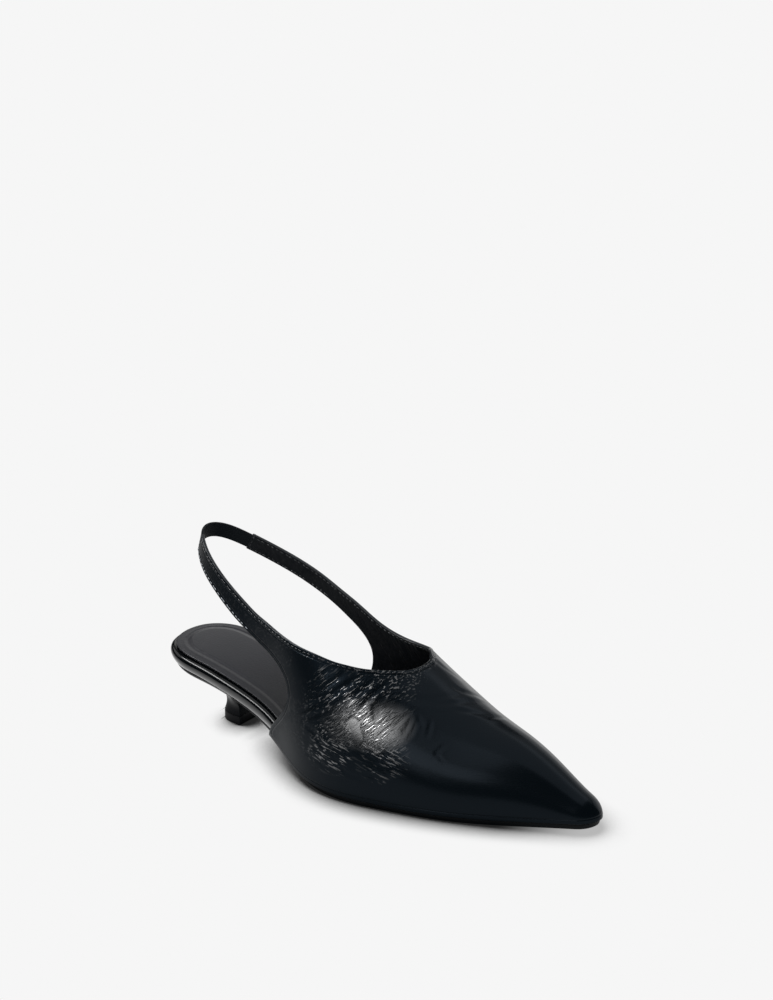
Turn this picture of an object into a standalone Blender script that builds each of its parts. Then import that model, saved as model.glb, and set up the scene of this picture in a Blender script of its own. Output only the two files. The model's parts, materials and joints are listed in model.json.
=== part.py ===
"""Right-foot slingback mule: a closed pointed vamp whose wings run back into a sling strap, an elastic
behind the heel, a wrapped footbed with a padded insole, a thin outsole and a low set-in heel.

Sizes are millimetres. "Along" runs from the back of the seat to the toe, "across" is negative on the
lateral side and positive on the medial side, and heights are above the floor.
"""

import math
from collections import namedtuple

import bmesh
import bpy
import numpy as np

MM = 0.001
LATERAL = -1
MEDIAL = 1

# Driving sizes of the shoe
SEAT_BACK = 2.4  # the stations are measured from a little behind the seat
LENGTH = 261.4  # station of the toe tip, over the upper
GAP = 0.3  # clearance between pieces that meet
WALL = 1.8  # upper leather with its lining
OUTSOLE = 2.7
OUTSOLE_BEVEL = 0.6
SEAT_ROUND = 27.0  # length of the rounded back of the seat
TOE_ROUND = 7.0  # length of the rounded toe tip, seen from above
TOE_NOSE = 8.0  # the same, seen from the side
VAMP_TIP = LENGTH - 0.1
FOOTBED_TIP = LENGTH - WALL - GAP
OUTSOLE_TIP = LENGTH - 0.6

# The bottom of the last, a row for each station: the line that the widths are measured from, the two
# half widths of the footbed, the height of its underside, its thickness, and how far the outsole reaches
# beyond the footbed.
Bottom = namedtuple("Bottom", "along axis lateral medial underside footbed welt")
BOTTOM = (
    Bottom(0, 0.0, 26.0, 26.0, 33.2, 6.7, -4.0),
    Bottom(30, 0.0, 26.0, 26.0, 30.9, 7.1, -4.0),
    Bottom(55, -0.6, 26.0, 25.2, 25.7, 7.6, -4.0),
    Bottom(85, -2.6, 25.9, 21.8, 15.0, 8.0, -2.2),
    Bottom(112, -3.2, 36.0, 25.4, 5.6, 6.4, -0.4),
    Bottom(140, -2.6, 40.4, 33.4, 3.2, 4.0, 1.3),
    Bottom(165, -1.0, 37.4, 36.8, 2.9, 3.0, 1.3),
    Bottom(190, 0.4, 31.8, 31.4, 2.9, 2.8, 1.3),
    Bottom(225, 2.4, 18.4, 18.4, 3.9, 2.6, 1.3),
    Bottom(245, 3.8, 10.4, 10.4, 5.1, 2.5, 1.3),
    Bottom(LENGTH, 5.0, 5.4, 5.4, 6.6, 2.4, 1.3),
)

# The last above the feather line, a row for each station: where its ridge runs, how far each flank swells
# beyond the feather line, and how broad the crown is to each side. Behind the throat the ridge is the bare
# instep.
Instep = namedtuple("Instep", "along ridge height lateral_swell medial_swell lateral_crown medial_crown")
INSTEP = (
    Instep(76, 1.0, 132.0, 4.0, 13.0, 0.95, 0.95),
    Instep(100, 3.0, 116.0, 4.0, 11.5, 0.90, 0.88),
    Instep(122, 4.6, 95.0, 4.0, 7.0, 0.78, 0.70),
    Instep(143, 5.6, 75.4, 3.6, 3.6, 0.66, 0.52),
    Instep(163, 5.4, 61.4, 3.0, 3.0, 0.58, 0.42),
    Instep(176, 5.0, 53.9, 2.6, 2.8, 0.57, 0.42),
    Instep(195, 4.7, 44.5, 2.2, 2.4, 0.56, 0.46),
    Instep(215, 4.6, 38.2, 1.8, 1.9, 0.57, 0.50),
    Instep(232, 4.6, 30.4, 1.4, 1.5, 0.58, 0.54),
    Instep(244, 4.7, 23.0, 1.0, 1.1, 0.60, 0.58),
    Instep(255, 4.9, 17.0, 0.7, 0.7, 0.60, 0.60),
    Instep(LENGTH, 5.0, 15.2, 0.4, 0.4, 0.60, 0.60),
)
FLANK = 0.52  # how high up the flank stays steep, as a share of the ridge's height

# The throat: where the vamp's back edge lies, how far up the section its two corners are, and how roundly it
# turns between them
THROAT_SHARE = 0.87
THROAT_ROUNDNESS = 1.6  # 1 makes it straight
Throat = namedtuple("Throat", "feather corner")
THROAT = {LATERAL: Throat(163.0, 159.4), MEDIAL: Throat(160.0, 155.8)}
THROAT_CENTRE = 160.8

# The pattern of each wing in side view, a row for each line across it: its lower end, on the feather line
# or on the curved side cut, its upper end on the topline, and how far it bows forwards between them. A lower
# height of None is the feather line.
Wing = namedtuple("Wing", "low_along low_height top_along top_height bow")
WINGS = {
    LATERAL: (
        Wing(147.0, None, 156.0, 62.6, 1.5),
        Wing(131.0, None, 151.5, 63.3, 4.0),
        Wing(115.0, None, 146.5, 64.1, 7.0),
        Wing(99.0, None, 141.0, 65.1, 9.5),
        Wing(85.6, None, 135.0, 66.6, 11.0),
        Wing(88.8, 21.8, 128.5, 68.2, 11.0),
        Wing(97.6, 31.2, 120.5, 70.4, 8.5),
        Wing(104.0, 41.2, 111.5, 71.9, 5.0),
        Wing(104.4, 50.0, 102.0, 73.1, 2.5),
        Wing(97.0, 57.6, 91.5, 74.6, 0.8),
        Wing(83.0, 63.0, 80.0, 77.6, 0.0),
    ),
    MEDIAL: (
        Wing(147.0, None, 152.6, 63.8, 1.5),
        Wing(134.0, None, 148.8, 62.0, 3.5),
        Wing(121.0, None, 145.0, 60.7, 6.0),
        Wing(108.0, None, 141.0, 60.0, 8.0),
        Wing(94.0, None, 136.4, 59.5, 9.5),
        Wing(98.6, 19.6, 130.6, 59.4, 9.0),
        Wing(104.4, 28.0, 124.0, 60.1, 7.5),
        Wing(107.9, 37.4, 116.4, 61.9, 5.0),
        Wing(107.4, 47.6, 107.6, 65.5, 2.5),
        Wing(99.6, 57.0, 97.0, 70.9, 0.8),
        Wing(86.4, 64.9, 83.4, 76.3, 0.0),
    ),
}
CUT_START = 5  # the row where the feather line ends and the side cut begins

# The centre line of the sling and the strap's width, a row for each place from a wing to the back. The
# lateral rows end at the middle of the back.
Sling = namedtuple("Sling", "along across height width")
SLING = {
    LATERAL: (
        Sling(80.0, -30.2, 71.0, 12.0),
        Sling(64.0, -28.0, 78.3, 11.0),
        Sling(48.0, -24.0, 86.6, 10.3),
        Sling(36.0, -18.9, 92.9, 10.3),
        Sling(27.5, -12.7, 97.6, 10.0),
        Sling(22.6, -6.4, 100.2, 9.4),
        Sling(21.0, 0.0, 100.9, 9.2),
    ),
    MEDIAL: (
        Sling(80.0, 30.2, 71.9, 10.9),
        Sling(64.0, 28.0, 79.6, 10.2),
        Sling(48.0, 24.0, 86.5, 9.8),
        Sling(36.0, 18.9, 92.2, 9.4),
        Sling(27.5, 12.7, 97.2, 9.2),
        Sling(22.6, 6.4, 100.0, 9.2),
    ),
}
SLING_LEAN = math.radians(10)
STRAP_START = 1.0  # row of the sling's table where a strap leaves its wing
STRAP_END = {LATERAL: 4.4, MEDIAL: 3.1}  # and where it meets the elastic
ELASTIC_WIDTH = 8.0
ELASTIC_THICK = 1.2

# The insole and its raised pad
INSOLE_INSET = 3.2
INSOLE_EDGE = 1.2
PAD_BORDER = 4.0
PAD_SLOPE = 2.0
PAD_RISE = 0.7
INSOLE_TAPER = 30.0  # length before the tip over which the insole's margins narrow
INSOLE_TIP_SHARE = 0.35  # and the share of them that is left at the tip

# The rounded edge of the wrapped footbed: how far each ring lies inside the widest one, and its height as
# a share of the thickness
Ring = namedtuple("Ring", "inset rise")
FOOTBED_EDGE = (
    Ring(2.2, 0.0),
    Ring(1.0, 0.12),
    Ring(0.25, 0.36),
    Ring(0.0, 0.6),
    Ring(0.5, 0.82),
    Ring(1.5, 0.95),
    Ring(2.6, 1.0),
)
EDGE_FULL_THICKNESS = 7.0  # a thinner footbed has a smaller round

# The heel block, a row for each ring from the seat down: its drop as a share of the height, and how much of
# the seat's overhang is left at the back and sides, and at the breast
HEEL_BREAST = 56.0
HEEL_INSET = 2.4
TOP_PIECE = 5.0
TIP_BACK = 33.6
TIP_FRONT = 47.6
TIP_HALF_WIDTH = 8.0
TIP_SQUARENESS = 0.6  # 1 makes the tip's plan a half ellipse, less makes it fuller
BREAST_CORNER = 8  # how sharply the heel's round turns into its breast
HeelRing = namedtuple("HeelRing", "drop round breast")
HEEL_RINGS = (
    HeelRing(0.0, 1.0, 1.0),
    HeelRing(0.11, 0.95, 0.86),
    HeelRing(0.24, 0.62, 0.62),
    HeelRing(0.38, 0.28, 0.4),
    HeelRing(0.52, 0.08, 0.22),
    HeelRing(0.68, -0.03, 0.08),
    HeelRing(0.85, -0.045, 0.0),
    HeelRing(1.0, 0.0, 0.0),
)
OUTSOLE_BACK = HEEL_BREAST + GAP

# Mesh spacing
WING_COLUMNS = 8
CREST_COLUMNS = 6
VAMP_ROWS = 20
WING_SUBROWS = 3
STRAP_ROWS = 9
BRIDGE_ROWS = 5  # between a wing and its strap
ELASTIC_ROWS = 14
SOLE_STATIONS = 42
SOLE_CROWDING = 0.65  # 0 spaces the sole's stations evenly
VAMP_CROWDING = 1.7  # 1 spaces the vamp's rows evenly
HEEL_STATIONS = 24


def spline(knots, values):
    """A curve of steady curvature through the values."""
    knots = np.asarray(knots, float)
    values = np.asarray(values, float)
    shape = values.shape[1:]
    values = values.reshape(len(knots), -1)
    step = np.diff(knots)
    slope = np.diff(values, axis=0) / step[:, None]
    system = np.eye(len(knots))
    bend = np.zeros_like(values)
    for i in range(1, len(knots) - 1):
        system[i, i - 1 : i + 2] = step[i - 1], 2 * (step[i - 1] + step[i]), step[i]
        bend[i] = 6 * (slope[i] - slope[i - 1])
    bend = np.linalg.solve(system, bend)

    def at(place):
        i = int(np.clip(np.searchsorted(knots, place) - 1, 0, len(step) - 1))
        ahead = knots[i + 1] - place
        behind = place - knots[i]
        curved = (bend[i] * ahead**3 + bend[i + 1] * behind**3) / (6 * step[i])
        start = (values[i] / step[i] - bend[i] * step[i] / 6) * ahead
        end = (values[i + 1] / step[i] - bend[i + 1] * step[i] / 6) * behind
        value = (curved + start + end).reshape(shape)
        return value if shape else float(value)

    return at


def columns_of(rows):
    """A curve over "along" for each other column of a table."""
    along = [row.along for row in rows]
    return {name: spline(along, [getattr(row, name) for row in rows]) for name in rows[0]._fields[1:]}


BOTTOM_CURVES = columns_of(BOTTOM)
INSTEP_CURVES = columns_of(INSTEP)


def bottom(name, along):
    return BOTTOM_CURVES[name](along)


def instep(name, along):
    return INSTEP_CURVES[name](along)


def round_end(distance, length):
    """Share of the full width at a distance from a rounded end."""
    share = min(max(distance / length, 0.0), 1.0)
    return math.sqrt(1 - (1 - share) ** 2)


def side_name(side):
    return "lateral" if side == LATERAL else "medial"


def footbed_half(along, side):
    """Half width of the footbed from the axis."""
    full = bottom(side_name(side), along)
    return full * round_end(along - SEAT_BACK, SEAT_ROUND) * round_end(FOOTBED_TIP - along, TOE_ROUND - WALL)


def section_handles(along, side):
    """The four handles of the last's section curve, feather line to ridge, as (across, height)."""
    feather_height = bottom("underside", along)
    half = (bottom(side_name(side), along) + GAP + WALL) * round_end(LENGTH - along, TOE_ROUND)
    feather = np.array([bottom("axis", along) + side * half, feather_height])
    rise = (instep("height", along) - feather_height) * round_end(LENGTH - along, TOE_NOSE)
    ridge = np.array([instep("ridge", along), feather_height + rise])
    nose = round_end(LENGTH - along, TOE_ROUND)
    swell = side * instep(side_name(side) + "_swell", along) * nose
    crown = instep(side_name(side) + "_crown", along)
    flank_handle = feather + (swell, FLANK * rise)
    crown_handle = np.array([ridge[0] + crown * (feather[0] + swell - ridge[0]), ridge[1]])
    return feather, flank_handle, crown_handle, ridge


def on_last(along, side, share):
    """A point of the last's surface: share 0 is the feather line and 1 the ridge."""
    a, b, c, d = section_handles(along, side)
    left = 1 - share
    across, height = left**3 * a + 3 * left**2 * share * b + 3 * left * share**2 * c + share**3 * d
    return np.array([along, across, height])


def share_at_height(along, side, height):
    """How far up the section a height lies."""
    low, high = 0.0, 1.0
    for _ in range(40):
        middle = (low + high) / 2
        if on_last(along, side, middle)[2] < height:
            low = middle
        else:
            high = middle
    return (low + high) / 2


def wing_pattern(side):
    """The two edges of a wing in side view and the bow of its rows, as curves over the row number with the
    throat as row 0. The lower edge has a corner where the side cut begins."""
    rows = WINGS[side]
    throat = THROAT[side]
    numbers = list(range(len(rows) + 1))
    corner_height = on_last(throat.corner, side, THROAT_SHARE)[2]
    top = [(throat.corner, corner_height)] + [(row.top_along, row.top_height) for row in rows]
    feather = [throat.feather] + [row.low_along for row in rows[:CUT_START]]
    start = rows[CUT_START - 1].low_along
    cut = [(start, bottom("underside", start))]
    cut += [(row.low_along, row.low_height) for row in rows[CUT_START:]]
    top_edge = spline(numbers, top)
    feather_edge = spline(numbers[: CUT_START + 1], feather)
    cut_edge = spline(numbers[CUT_START:], cut)
    bow = spline(numbers, [0.0] + [row.bow for row in rows])
    return top_edge, feather_edge, cut_edge, bow


def wing_row(number, side, pattern):
    """The points of one line across a wing, lower end first."""
    top_edge, feather_edge, cut_edge, bow = pattern
    top_along, top_height = top_edge(number)
    top_share = share_at_height(top_along, side, top_height)
    if number <= CUT_START:
        low_along, low_share = feather_edge(number), 0.0
    else:
        low_along, low_height = cut_edge(number)
        low_share = share_at_height(low_along, side, low_height)
    points = []
    for j in range(WING_COLUMNS + 1):
        part = j / WING_COLUMNS
        along = low_along + (top_along - low_along) * part + 4 * bow(number) * part * (1 - part)
        points.append(on_last(along, side, low_share + (top_share - low_share) * part))
    return np.array(points)


SLING_BACK = len(SLING[LATERAL]) - 1
SLING_ROWS = SLING[LATERAL] + SLING[MEDIAL][::-1]
SLING_LOOP = spline(range(len(SLING_ROWS)), [(row.along, row.across, row.height) for row in SLING_ROWS])
SLING_WIDTH = spline(range(len(SLING_ROWS)), [row.width for row in SLING_ROWS])


def sling_frame(place):
    """Centre, direction up the strap's width and direction outwards, at a place round the sling. Places
    count the table's rows from the lateral wing round to the medial one."""
    small = 1e-3
    centre = SLING_LOOP(place)
    run = SLING_LOOP(place + small) - SLING_LOOP(place - small)
    run /= np.linalg.norm(run)
    outwards = np.cross((0, 0, 1), run)
    outwards /= np.linalg.norm(outwards)
    up = np.cross(run, outwards)
    leaning_up = math.cos(SLING_LEAN) * up - math.sin(SLING_LEAN) * outwards
    leaning_out = math.cos(SLING_LEAN) * outwards + math.sin(SLING_LEAN) * up
    return centre, leaning_up, leaning_out


def sling_place(row, side):
    """A row number of the sling's table as a place round the sling."""
    return row if side == LATERAL else 2 * SLING_BACK - row


def strap_row(row, side):
    """The points across the strap at a row number of the sling's table, lower edge first."""
    place = sling_place(row, side)
    centre, up, _ = sling_frame(place)
    width = SLING_WIDTH(place)
    return np.array([centre + up * width * (j / WING_COLUMNS - 0.5) for j in range(WING_COLUMNS + 1)])


def throat_along(side, share):
    """Station of the vamp's back edge, at a share of the section."""
    throat = THROAT[side]
    if share <= THROAT_SHARE:
        return throat.feather + (throat.corner - throat.feather) * share / THROAT_SHARE
    crest = (share - THROAT_SHARE) / (1 - THROAT_SHARE)
    turned = 1 - max(1 - crest, 0.0) ** THROAT_ROUNDNESS
    return throat.corner + (THROAT_CENTRE - throat.corner) * turned


def vamp_row(part):
    """The points of one section of the vamp, from the throat (part 0) to the toe tip (part 1)."""
    reach = 1 - (1 - part) ** VAMP_CROWDING
    half_crest = CREST_COLUMNS // 2
    shares = [THROAT_SHARE * j / WING_COLUMNS for j in range(WING_COLUMNS + 1)]
    shares += [THROAT_SHARE + (1 - THROAT_SHARE) * j / half_crest for j in range(1, half_crest + 1)]
    halves = {}
    for side in (LATERAL, MEDIAL):
        halves[side] = []
        for share in shares:
            edge = throat_along(side, share)
            halves[side].append(on_last(edge + (VAMP_TIP - edge) * reach, side, share))
    return np.array(halves[LATERAL] + halves[MEDIAL][-2::-1])


def wing_rows(side):
    """All lines across a wing and its strap, from the one behind the throat to the strap's end."""
    pattern = wing_pattern(side)
    count = len(WINGS[side]) * WING_SUBROWS
    rows = [wing_row(i / WING_SUBROWS, side, pattern) for i in range(1, count + 1)]
    reach = STRAP_END[side] - STRAP_START
    straps = [strap_row(STRAP_START + reach * i / STRAP_ROWS, side) for i in range(STRAP_ROWS + 1)]
    joint = np.array(rows[-3:] + straps[:3])
    middles = joint[:, WING_COLUMNS // 2]
    knots = np.concatenate([[0.0], np.cumsum(np.linalg.norm(np.diff(middles, axis=0), axis=1))])
    bridge = spline(knots, joint)
    between = [knots[2] + (knots[3] - knots[2]) * k / BRIDGE_ROWS for k in range(1, BRIDGE_ROWS)]
    return rows + [bridge(place) for place in between] + straps


def material(name, colour, roughness):
    made = bpy.data.materials.new(name)
    made.use_nodes = True
    shader = made.node_tree.nodes["Principled BSDF"]
    shader.inputs["Base Color"].default_value = (*colour, 1)
    shader.inputs["Roughness"].default_value = roughness
    shader.inputs["Metallic"].default_value = 0.0
    return made


def add_object(name, points, faces, look, parent):
    """A named, smooth shaded mesh object, placed under the shoe's empty."""
    mesh = bpy.data.meshes.new(name)
    mesh.from_pydata([tuple(point * MM for point in p) for p in points], [], faces)
    mesh.validate()
    mesh.shade_smooth()
    mesh.set_sharp_from_angle(angle=math.radians(40))
    mesh.materials.append(look)
    made = bpy.data.objects.new(name, mesh)
    bpy.context.scene.collection.objects.link(made)
    made.parent = parent
    return made


def grid_faces(grid):
    """Quads over a grid of point numbers."""
    return [
        (grid[i][j], grid[i][j + 1], grid[i + 1][j + 1], grid[i + 1][j])
        for i in range(len(grid) - 1)
        for j in range(len(grid[0]) - 1)
    ]


def build_upper(look, parent):
    """The vamp, wings and straps as one sheet on the last, given the leather's thickness inwards."""
    rows = [vamp_row(i / VAMP_ROWS) for i in range(VAMP_ROWS + 1)]
    points = [p for row in rows for p in row]
    width = len(rows[0])
    vamp = [[i * width + j for j in range(width)] for i in range(len(rows))]
    faces = [face[::-1] for face in grid_faces(vamp)]
    faces.append(tuple(vamp[-1][::-1]))
    for side in (LATERAL, MEDIAL):
        pick = slice(0, WING_COLUMNS + 1) if side == LATERAL else slice(None, -WING_COLUMNS - 2, -1)
        wing = [vamp[0][pick]]
        for row in wing_rows(side):
            wing.append(list(range(len(points), len(points) + len(row))))
            points += list(row)
        strip = grid_faces(wing)
        faces += strip if side == LATERAL else [face[::-1] for face in strip]
    upper = add_object("upper", points, faces, look, parent)
    thick = upper.modifiers.new("leather", "SOLIDIFY")
    thick.thickness = WALL * MM
    thick.offset = -1
    return upper


def build_elastic(look, parent):
    """The elastic behind the heel, between the two strap ends."""
    spare = GAP / np.linalg.norm(SLING_LOOP(SLING_BACK) - SLING_LOOP(SLING_BACK - 1))
    start = sling_place(STRAP_END[LATERAL] + spare, LATERAL)
    end = sling_place(STRAP_END[MEDIAL] + spare, MEDIAL)
    rings = []
    for i in range(ELASTIC_ROWS + 1):
        centre, up, out = sling_frame(start + (end - start) * i / ELASTIC_ROWS)
        centre = centre - out * WALL / 2
        corners = ((-1, 1), (1, 1), (1, -1), (-1, -1))
        rings.append(
            [centre + up * u * ELASTIC_WIDTH / 2 + out * o * ELASTIC_THICK / 2 for u, o in corners]
        )
    points = [p for ring in rings for p in ring]
    faces = []
    for i in range(ELASTIC_ROWS):
        for j in range(4):
            k = (j + 1) % 4
            faces.append((4 * i + j, 4 * i + k, 4 * i + 4 + k, 4 * i + 4 + j))
    faces.append((3, 2, 1, 0))
    faces.append(tuple(4 * ELASTIC_ROWS + j for j in range(4)))
    return add_object("elastic", points, faces, look, parent)


def stacked_solid(name, rings, ladder, look, parent):
    """A closed solid of rings stacked upwards. The first and last are closed by rungs from each point of the
    ladder's first side to the matching point of its second side."""
    count = len(rings[0])
    points = [p for ring in rings for p in ring]
    faces = []
    for level in range(len(rings) - 1):
        for j in range(count):
            k = (j + 1) % count
            a, b = level * count, (level + 1) * count
            faces.append((a + j, a + k, b + k, b + j))
    first, second = ladder
    top = (len(rings) - 1) * count
    for j in range(len(first) - 1):
        rung = (first[j], first[j + 1], second[j + 1], second[j])
        corners = list(dict.fromkeys(rung))
        faces.append(tuple(corners))
        faces.append(tuple(top + c for c in reversed(corners)))
    made = add_object(name, points, faces, look, parent)
    shape = bmesh.new()
    shape.from_mesh(made.data)
    bmesh.ops.recalc_face_normals(shape, faces=shape.faces)
    shape.to_mesh(made.data)
    shape.free()
    return made


def sole_stations(start, end, round_start=True):
    """Stations along the shoe, closer together towards its rounded ends."""
    even = np.linspace(0.0, 1.0, SOLE_STATIONS + 1)
    if round_start:
        crowded = (1 - np.cos(math.pi * even)) / 2
    else:
        crowded = np.sin(math.pi * even / 2)
    stations = start + (end - start) * (even + SOLE_CROWDING * (crowded - even))
    stations[0] = start
    stations[-1] = end
    return stations


def outline(stations, half, closed_start):
    """A plan outline as (along, across) points, up the lateral side and back down the medial one, and its
    ladder. An end that is closed to a point has one point in place of two."""
    lateral = [(x, bottom("axis", x) - half(x, LATERAL)) for x in stations]
    medial = [(x, bottom("axis", x) + half(x, MEDIAL)) for x in stations]
    ring = lateral + medial[-2::-1]
    if closed_start:
        ring = ring[:-1]
    count = len(ring)
    first = list(range(len(stations)))
    second = [(2 * (len(stations) - 1) - i) % count for i in range(len(stations))]
    return np.array(ring), (first, second)


def inset_outline(ring, distance, keep_straight=None):
    """The outline moved inwards by a distance, or by one distance for each point."""
    ahead = np.roll(ring, -1, axis=0) - ring
    behind = ring - np.roll(ring, 1, axis=0)
    ahead /= np.linalg.norm(ahead, axis=1)[:, None]
    behind /= np.linalg.norm(behind, axis=1)[:, None]
    run = ahead + behind
    run /= np.linalg.norm(run, axis=1)[:, None]
    inwards = np.stack([-run[:, 1], run[:, 0]], axis=1)
    moved = ring + inwards * np.asarray(distance).reshape(-1, 1)
    if keep_straight is not None:
        moved[ring[:, 0] <= keep_straight + 1e-6, 0] = keep_straight
    return moved


def lifted(ring, height):
    """An outline with a height for each point, from a function of its place along the shoe."""
    return np.array([(x, y, height(x)) for x, y in ring])


def build_footbed(look, parent):
    stations = sole_stations(SEAT_BACK, FOOTBED_TIP)
    ring, ladder = outline(stations, footbed_half, closed_start=True)
    thickness = np.array([bottom("footbed", x) for x in ring[:, 0]])
    fullness = np.minimum(thickness / EDGE_FULL_THICKNESS, 1.0)
    rings = []
    for edge in FOOTBED_EDGE:
        moved = inset_outline(ring, edge.inset * fullness)
        rings.append(lifted(moved, lambda x: bottom("underside", x) + edge.rise * bottom("footbed", x)))
    return stacked_solid("footbed", rings, ladder, look, parent)


def build_insole(look, parent):
    stations = sole_stations(SEAT_BACK, FOOTBED_TIP)
    ring, ladder = outline(stations, footbed_half, closed_start=True)

    def floor(x):
        return bottom("underside", x) + bottom("footbed", x) + GAP

    rings = []
    for inset, rise in (
        (INSOLE_INSET, 0.0),
        (INSOLE_INSET, INSOLE_EDGE),
        (INSOLE_INSET + PAD_BORDER, INSOLE_EDGE),
        (INSOLE_INSET + PAD_BORDER + PAD_SLOPE, INSOLE_EDGE + PAD_RISE),
    ):
        margin = inset * np.clip((FOOTBED_TIP - ring[:, 0]) / INSOLE_TAPER, INSOLE_TIP_SHARE, 1.0)
        rings.append(lifted(inset_outline(ring, margin), lambda x: floor(x) + rise))
    return stacked_solid("insole", rings, ladder, look, parent)


def build_outsole(look, parent):
    stations = sole_stations(OUTSOLE_BACK, OUTSOLE_TIP, round_start=False)

    def half(along, side):
        full = bottom(side_name(side), along) + bottom("welt", along)
        return full * round_end(OUTSOLE_TIP - along, TOE_ROUND)

    ring, ladder = outline(stations, half, closed_start=False)
    top = lifted(ring, lambda x: bottom("underside", x) - GAP)
    under = inset_outline(ring, OUTSOLE_BEVEL, keep_straight=OUTSOLE_BACK)
    tread = lifted(under, lambda x: max(0.0, bottom("underside", x) - GAP - OUTSOLE))
    return stacked_solid("outsole", [tread, top], ladder, look, parent)


def heel_outlines():
    """The seat's and the tip's outlines with matching points, from the lateral end of the breast round the
    back to its medial end, and how far each point follows the breast's profile."""
    seat, tip, breast = [], [], []
    back = SEAT_BACK + HEEL_INSET
    for i in range(HEEL_STATIONS + 1):
        turn = math.pi * i / HEEL_STATIONS
        side = LATERAL if i < HEEL_STATIONS / 2 else MEDIAL
        sideways = abs(math.cos(turn)) if 2 * i != HEEL_STATIONS else 0.0
        along = HEEL_BREAST - (HEEL_BREAST - back) * math.sin(turn)
        full = bottom(side_name(side), along) - HEEL_INSET
        half = full * round_end(along - back, SEAT_ROUND - HEEL_INSET)
        seat.append((along, bottom("axis", along) + side * half))
        depth = (TIP_FRONT - TIP_BACK) * math.sin(turn)
        tip.append((TIP_FRONT - depth, side * TIP_HALF_WIDTH * sideways**TIP_SQUARENESS))
        breast.append(sideways**BREAST_CORNER)
    return np.array(seat), np.array(tip), np.array(breast)


def heel_ladder():
    """Rungs across the heel's rings, from the back to the breast."""
    half = HEEL_STATIONS // 2
    first = list(range(half, -1, -1))
    second = list(range(half, HEEL_STATIONS + 1))
    return first, second


def build_heel(look, parent):
    seat, tip, breast = heel_outlines()
    base = TOP_PIECE + GAP
    drops = [row.drop for row in HEEL_RINGS]
    round_share = spline(drops, [row.round for row in HEEL_RINGS])
    breast_share = spline(drops, [row.breast for row in HEEL_RINGS])
    rings = []
    for i in range(2 * len(HEEL_RINGS) - 1):
        drop = 1 - i / (2 * len(HEEL_RINGS) - 2)
        spread = round_share(drop) * (1 - breast) + breast_share(drop) * breast
        plan = tip + (seat - tip) * spread[:, None]
        ceiling = np.array([bottom("underside", x) - GAP for x in seat[:, 0]])
        rings.append(np.column_stack([plan, ceiling + (base - ceiling) * drop]))
    return stacked_solid("heel", rings, heel_ladder(), look, parent)


def build_top_piece(look, parent):
    _, tip, _ = heel_outlines()
    rings = [np.column_stack([tip, np.full(len(tip), height)]) for height in (0.0, TOP_PIECE)]
    return stacked_solid("top_piece", rings, heel_ladder(), look, parent)


def stand_on_origin(shoe):
    """Moves the shoe so that the middle of its lowest face's box is at the origin."""
    bpy.context.view_layer.update()
    graph = bpy.context.evaluated_depsgraph_get()
    points = []
    for piece in shoe.children:
        evaluated = piece.evaluated_get(graph)
        points += [evaluated.matrix_world @ vertex.co for vertex in evaluated.data.vertices]
    low = np.min(points, axis=0)
    high = np.max(points, axis=0)
    shoe.location = (-(low[0] + high[0]) / 2, -(low[1] + high[1]) / 2, -low[2])


def main():
    for old in list(bpy.data.objects):
        bpy.data.objects.remove(old)
    shoe = bpy.data.objects.new("mule", None)
    bpy.context.scene.collection.objects.link(shoe)
    leather = material("black_crinkled_leather", (0.012, 0.013, 0.016), 0.28)
    build_upper(leather, shoe)
    build_elastic(material("black_elastic", (0.012, 0.012, 0.014), 0.7), shoe)
    build_footbed(material("black_wrap_leather", (0.012, 0.013, 0.016), 0.25), shoe)
    build_insole(material("charcoal_lining_leather", (0.045, 0.045, 0.05), 0.5), shoe)
    build_outsole(material("black_sole_rubber", (0.015, 0.015, 0.016), 0.5), shoe)
    build_heel(material("black_heel_cover", (0.012, 0.013, 0.016), 0.3), shoe)
    build_top_piece(material("black_top_lift_rubber", (0.014, 0.014, 0.015), 0.55), shoe)
    stand_on_origin(shoe)


main()
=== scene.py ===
"""Looks of a right-foot slingback mule in black crinkled leather, standing on a pale studio floor.

Lengths are metres unless a name or a table says millimetres. The toe points along +X, the lateral side is
towards -Y, and the floor is at height 0.
"""

import json
import math
from collections import namedtuple

import bpy
import numpy as np
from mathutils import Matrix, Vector
from mathutils.kdtree import KDTree

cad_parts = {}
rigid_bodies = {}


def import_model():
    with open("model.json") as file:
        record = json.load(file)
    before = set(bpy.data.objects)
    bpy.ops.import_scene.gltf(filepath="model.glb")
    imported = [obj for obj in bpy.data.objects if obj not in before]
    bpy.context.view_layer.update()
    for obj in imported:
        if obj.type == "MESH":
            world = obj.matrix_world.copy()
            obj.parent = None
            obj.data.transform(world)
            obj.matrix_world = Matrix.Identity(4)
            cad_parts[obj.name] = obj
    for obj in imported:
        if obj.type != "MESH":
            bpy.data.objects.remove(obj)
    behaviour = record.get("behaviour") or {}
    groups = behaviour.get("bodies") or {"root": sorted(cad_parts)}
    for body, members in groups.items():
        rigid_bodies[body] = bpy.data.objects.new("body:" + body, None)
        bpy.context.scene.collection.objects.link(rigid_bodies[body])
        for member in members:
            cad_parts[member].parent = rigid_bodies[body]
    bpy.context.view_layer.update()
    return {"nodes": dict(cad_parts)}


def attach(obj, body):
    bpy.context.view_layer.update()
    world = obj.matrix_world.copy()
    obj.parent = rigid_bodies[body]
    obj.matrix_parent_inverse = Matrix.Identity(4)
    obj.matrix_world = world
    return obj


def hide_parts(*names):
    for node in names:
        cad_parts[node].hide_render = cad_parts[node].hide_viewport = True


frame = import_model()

# Upper
# Vamp, wings and straps are cut in one from soft calf with a glossy, crinkled finish. The leather is lined,
# folded in along every edge, and pulled tight over the last, so it is smooth at the toe and creased behind.
MM = 0.001
MERGE_WITHIN = 0.01 * MM
PANEL_ANGLE = math.radians(50)  # a sharper edge is the border of a panel
ROUND_LEVELS = 2
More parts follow.
